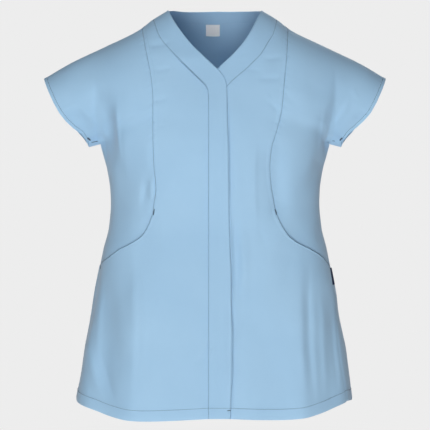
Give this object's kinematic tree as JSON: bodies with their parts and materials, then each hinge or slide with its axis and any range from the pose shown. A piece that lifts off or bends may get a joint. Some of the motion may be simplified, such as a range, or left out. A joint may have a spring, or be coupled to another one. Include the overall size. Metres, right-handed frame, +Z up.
{
  "type": "work tunic",
  "caption": "Hollow short work tunic as worn: V neck with lapped front band, cut-on cap sleeves, curved hip pockets, flared rounded hem.",
  "frame": {"origin": "between the shoulders, in the plane of the side seams, at the height of the neck points, where a wearer's shoulders carry the garment", "axes": "+Z up along the length of the garment, -Y out of the front, +X towards the wearer's left"},
  "size_m": [0.624, 0.3326, 0.7391],
  "materials": {
    "cloth": "light blue cotton blend, plain weave, matt",
    "band": "the same cloth folded double, topstitched",
    "label": "white woven tape, bare",
    "tag": "navy woven tape, bare"
  },
  "bodies": {
    "root": {"front_centre_right": "cloth", "front_centre_left": "cloth", "front_side_right": "cloth", "front_side_left": "cloth", "back": "cloth", "front_band_right": "band", "front_band_left": "band", "back_neckband": "band", "neck_label": "label", "side_tag": "tag"}
  },
  "joints": []
}
